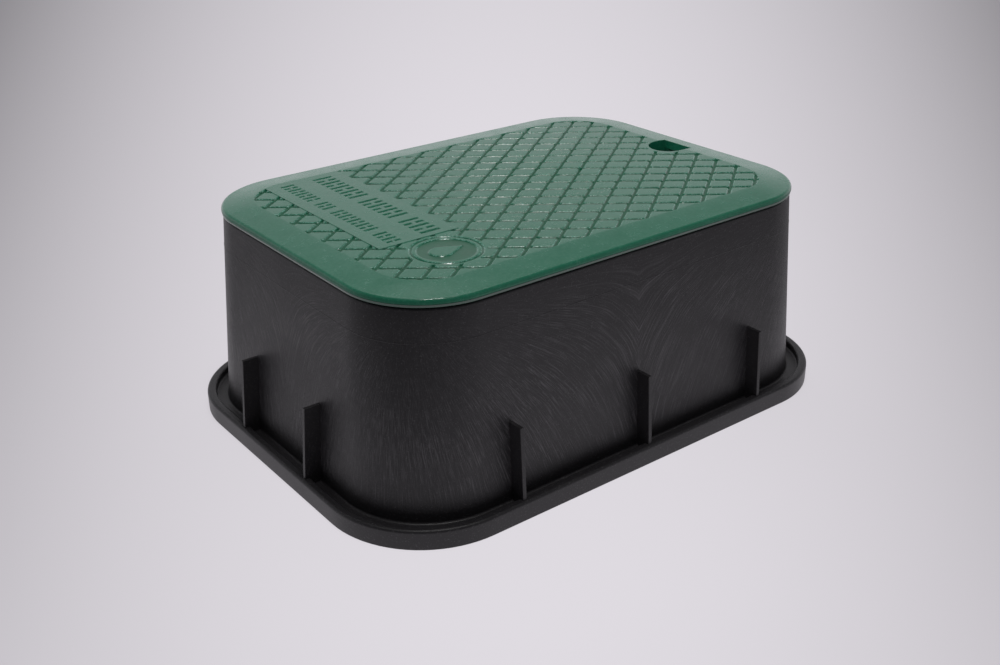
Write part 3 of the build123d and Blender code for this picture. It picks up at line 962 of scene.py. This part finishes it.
def body_material(source_height, to_long_weld, to_short_weld):
    """Black plastic with the streaks that the melt leaves as it runs from the corners to the welds."""
    n = plastic("box_black_plastic")
    place = n.add("ShaderNodeTexCoord", output=3)
    along, height, _ = n.split(n.add("ShaderNodeUVMap", settings={"uv_map": "flow"}))
    down = n.math("SUBTRACT", source_height, height)
    turns, distances = [], []
    for source in (0.0, 2 * to_long_weld, -2 * to_short_weld):
        reach = n.math("SUBTRACT", along, source)
        turns.append(n.math("ARCTAN2", reach, down))
        distances.append(n.math("LOGARITHM", n.length(reach, down), LOG_BASE))
    angle = n.math("MULTIPLY_ADD", n.noise(place, 14.0, 2.0), STREAK_WANDER, n.sum(turns))
    spread = n.sum(distances)

    def streak_noise(across, breaks, seed):
        side, forward = n.math("MULTIPLY", angle, across), n.math("MULTIPLY", spread, breaks)
        return n.noise(n.vector(side, forward, seed), 1.0, 2.0, 0.6)

    long_streaks, fine_streaks = streak_noise(*LONG_STREAKS), streak_noise(*FINE_STREAKS)
    cloud = n.noise(place, 12.0, 3.0, 0.5)
    speck = n.remap(n.noise(place, 800.0, 2.0, 0.6), 0.58, 0.78)
    grain = n.noise(place, 1500.0, 2.0, 0.6)
    patches = n.remap(n.noise(place, 22.0, 2.0), 0.35, 0.7)
    streaks = n.math("MULTIPLY", n.remap(fine_streaks, 0.52, 0.74), 1.2)
    streaks = n.math("ADD", streaks, n.remap(long_streaks, 0.54, 0.78))
    for fade in (
        n.remap(patches, 0.0, 1.0, 0.35, 1.0),
        n.remap(height, *FADE_UNDER_LID, 0.30, 1.0),
        n.remap(height, *FADE_AT_FOOT),
    ):
        streaks = n.math("MULTIPLY", streaks, fade)
    from_long_weld = n.math("ABSOLUTE", n.math("SUBTRACT", along, to_long_weld))
    from_short_weld = n.math("ABSOLUTE", n.math("ADD", along, to_short_weld))
    from_weld = n.math("MINIMUM", from_long_weld, from_short_weld)
    weld = n.math("MULTIPLY", n.remap(from_weld, *WELD_EDGES), n.remap(height, *WELD_FADE, 0.0, 0.6))
    pale_marks_and_glint = n.math("MAXIMUM", n.math("MULTIPLY_ADD", speck, 0.6, streaks), weld)

    base = n.mix(n.remap(cloud, 0.3, 0.7), *BOX_BLACK)
    colour = n.mix(pale_marks_and_glint, base, BOX_WORN)
    n.set(n.shader.inputs["Base Color"], colour)
    rough = n.math("ADD", n.remap(cloud, 0.3, 0.7, 0.40, 0.47), n.math("MULTIPLY", streaks, -0.10))
    n.set(n.shader.inputs["Roughness"], rough)
    n.set(n.shader.inputs["IOR"], 1.44)
    normal = n.bump(streaks, 0.45, 0.0003)
    normal = n.bump(grain, 0.30, 0.0002, normal)
    normal = n.bump(speck, 0.30, 0.0003, normal)
    n.set(n.shader.inputs["Normal"], normal)
    return n.owner


VIEW_HEADING = Vector((0.609, 0.793, 0))  # level direction from the camera past the object
FLOOR_GREY = (0.15, 0.146, 0.154, 1)
FLOOR_GLOW = (1.0, 0.960, 1.02, 1)
FLOOR_GLOW_STRENGTH = 0.68
GLOW_CENTRE = (0.51, 0.36)  # across and up the view
GLOW_HALF_SIZE = (0.21, 0.155)  # of the area round the object that glows evenly


def floor_material():
    """A pale table that glows. What the camera sees of it falls off towards the sides and the far end.
    What the object mirrors falls off with the distance, most of all towards the camera."""
    n = plastic("studio_floor")
    across, upward, _ = n.split(n.add("ShaderNodeTexCoord", output=5))
    sideways = n.math("SUBTRACT", across, GLOW_CENTRE[0])
    off_middle = n.math("SUBTRACT", upward, GLOW_CENTRE[1])
    steeper = n.math("MULTIPLY_ADD", upward, 1.4, 0.9)
    seen = n.math("SUBTRACT", 1.0, n.math("MULTIPLY", n.math("MULTIPLY", sideways, sideways), steeper))
    seen = n.math("SUBTRACT", seen, n.math("MULTIPLY", n.math("MULTIPLY", off_middle, off_middle), 0.18))

    x, y, _ = n.split(n.add("ShaderNodeNewGeometry"))
    past_x, past_y = (
        n.math("MAXIMUM", n.math("SUBTRACT", n.math("ABSOLUTE", value), half_size), 0.0)
        for value, half_size in zip((x, y), GLOW_HALF_SIZE)
    )
    to_camera = n.math("MULTIPLY_ADD", x, -VIEW_HEADING.x, n.math("MULTIPLY", y, -VIEW_HEADING.y))
    mirrored = n.remap(n.length(past_x, past_y), 0.0, 1.0, 1.0, 0.45)
    for fade in (
        n.remap(to_camera, 0.33, 0.66, 1.0, 0.34),
        n.remap(n.math("ABSOLUTE", x), 0.25, 0.48, 1.0, 0.52),
    ):
        mirrored = n.math("MULTIPLY", mirrored, fade)
    mirrored = n.math("MAXIMUM", mirrored, n.remap(to_camera, -0.50, -0.90))

    from_camera = n.add("ShaderNodeLightPath")
    mirrored = n.math("MULTIPLY", mirrored, n.math("SUBTRACT", 1.0, from_camera))
    share = n.math("ADD", n.math("MULTIPLY", seen, from_camera), mirrored)
    for name, value in (
        ("Base Color", FLOOR_GREY),
        ("Roughness", 0.9),
        ("Specular IOR Level", 0.1),
        ("Emission Color", FLOOR_GLOW),
        ("Emission Strength", n.math("MULTIPLY", share, FLOOR_GLOW_STRENGTH)),
    ):
        n.set(n.shader.inputs[name], value)
    return n.owner


# ---- Build the pieces ---------------------------------------------------------------------
body = build_body()
lid = build_lid()
wall_middle = wall_outline(WALL_TOP / 2)
eighth_turn = wall_middle[2] * pi / 4
body.data.materials.append(
    body_material(
        WALL_TOP,
        wall_middle[0] / 2 - wall_middle[2] + eighth_turn,
        wall_middle[1] / 2 - wall_middle[2] + eighth_turn,
    )
)
lid.data.materials.append(lid_material())
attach(body, "box")
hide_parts("box_body")
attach(lid, "lid")
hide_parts("lid")

# ---- Stage, light and camera --------------------------------------------------------------
FLOOR_HALF = 12.0
FLOOR_DROP = 0.0002  # keeps the floor clear of the object's base
floor_mesh = bpy.data.meshes.new("floor")
floor_corners = rectangle(-FLOOR_HALF, FLOOR_HALF, -FLOOR_HALF, FLOOR_HALF)
floor_mesh.from_pydata([(x, y, 0) for x, y in floor_corners], [], [(0, 1, 2, 3)])
floor = bpy.data.objects.new("floor", floor_mesh)
floor.location.z = -FLOOR_DROP
bpy.context.scene.collection.objects.link(floor)
floor_mesh.materials.append(floor_material())


def area_light(name, place, target, size, watts, colour):
    """A round softbox that faces a target."""
    data = bpy.data.lights.new(name, "AREA")
    data.shape = "DISK"
    data.size = size
    data.energy = watts
    data.color = colour
    lamp = bpy.data.objects.new(name, data)
    lamp.location = place
    lamp.rotation_euler = (Vector(target) - Vector(place)).to_track_quat("-Z", "Y").to_euler()
    bpy.context.scene.collection.objects.link(lamp)


LIGHTS = (  # name, place, target, diameter, watts, colour
    ("softbox_above", (0.5, 0.9, 2.0), (0, 0, 0.1), 1.6, 7.0, (1.0, 0.98, 1.0)),
    ("softbox_over", (-0.15, -0.25, 1.5), (-0.1, -0.1, 0.1), 0.20, 5.0, (1.0, 0.99, 0.98)),
)
for light in LIGHTS:
    area_light(*light)

SURROUND_COLOUR = (0.97, 0.955, 1.0, 1)
SURROUND_DIM = 0.10


def studio_world():
    """A pale surround: bright low down behind the object, dim higher up and on the camera's side."""
    n = Nodes(bpy.data.worlds.new("studio"), "Background")
    heading = n.add("ShaderNodeTexCoord")
    toward = n.add("ShaderNodeVectorMath", output=1, settings={"operation": "DOT_PRODUCT"})
    n.set(toward.node.inputs[0], heading)
    n.set(toward.node.inputs[1], VIEW_HEADING)
    behind = n.remap(toward, -0.7, 0.85)
    rise = n.split(heading)[2]
    horizon = n.remap(rise, 0.38, 0.12, 0.17, 0.50)
    low = n.math("MULTIPLY_ADD", n.remap(rise, 0.56, 0.34), 0.35, horizon)
    n.set(n.shader.inputs["Color"], SURROUND_COLOUR)
    n.set(n.shader.inputs["Strength"], n.math("MULTIPLY_ADD", behind, low, SURROUND_DIM))
    return n.owner


bpy.context.scene.world = studio_world()

CAMERA_AZIMUTH = radians(-37.54)
CAMERA_ELEVATION = radians(25.61)
CAMERA_ROLL = radians(-0.54)
CAMERA_DISTANCE = 0.93618
CAMERA_TARGET = Vector((-0.0618, -0.0628, 0.090))
LENS = 42.18  # mm
SENSOR_WIDTH = 36.0  # mm
SIGHT = 50  # metres that the camera sees
back = Vector(
    (
        sin(CAMERA_AZIMUTH) * cos(CAMERA_ELEVATION),
        -cos(CAMERA_AZIMUTH) * cos(CAMERA_ELEVATION),
        sin(CAMERA_ELEVATION),
    )
)
right = Vector((cos(CAMERA_AZIMUTH), sin(CAMERA_AZIMUTH), 0))
up = back.cross(right)
turned_right = right * cos(CAMERA_ROLL) + up * sin(CAMERA_ROLL)
turned_up = back.cross(turned_right)
camera_data = bpy.data.cameras.new("camera")
camera_data.lens = LENS
camera_data.sensor_width = SENSOR_WIDTH
camera_data.clip_end = SIGHT
camera = bpy.data.objects.new("camera", camera_data)
camera.matrix_world = Matrix.Translation(CAMERA_TARGET + back * CAMERA_DISTANCE) @ Matrix(
    (turned_right, turned_up, back)
).transposed().to_4x4()
bpy.context.scene.collection.objects.link(camera)
bpy.context.scene.camera = camera
bpy.context.scene.view_settings.view_transform = "Standard"
